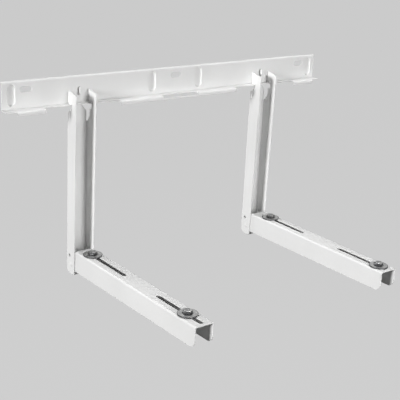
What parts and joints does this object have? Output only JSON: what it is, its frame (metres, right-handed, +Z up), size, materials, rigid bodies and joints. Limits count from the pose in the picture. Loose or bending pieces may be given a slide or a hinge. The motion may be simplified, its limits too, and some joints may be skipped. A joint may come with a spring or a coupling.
{
  "type": "air conditioner outdoor unit bracket",
  "caption": "Wall bracket for an outdoor air conditioner: a folded rail with two channel uprights hooked into it and slotted channel arms that carry the unit.",
  "frame": {"origin": "middle of the rail's centre slot, on the wall plane", "axes": "+X along the rail to the viewer's right, +Y into the wall, arms reach to -Y, +Z up"},
  "size_m": [0.8, 0.438, 0.409],
  "materials": {
    "white_coat": "white powder coat, fine orange peel, semi-gloss",
    "zinc_plate": "zinc plated, slightly dull"
  },
  "bodies": {
    "root": {"wall_rail": "white_coat", "left_upright": "white_coat", "left_arm": "white_coat", "left_outer_rivet": "white_coat", "left_inner_rivet": "white_coat", "left_rear_screw": "zinc_plate", "left_rear_top_washer": "zinc_plate", "left_rear_low_washer": "zinc_plate", "left_rear_nut": "zinc_plate", "left_front_screw": "zinc_plate", "left_front_top_washer": "zinc_plate", "left_front_low_washer": "zinc_plate", "left_front_nut": "zinc_plate", "right_upright": "white_coat", "right_arm": "white_coat", "right_outer_rivet": "white_coat", "right_inner_rivet": "white_coat", "right_rear_screw": "zinc_plate", "right_rear_top_washer": "zinc_plate", "right_rear_low_washer": "zinc_plate", "right_rear_nut": "zinc_plate", "right_front_screw": "zinc_plate", "right_front_top_washer": "zinc_plate", "right_front_low_washer": "zinc_plate", "right_front_nut": "zinc_plate"}
  },
  "joints": []
}
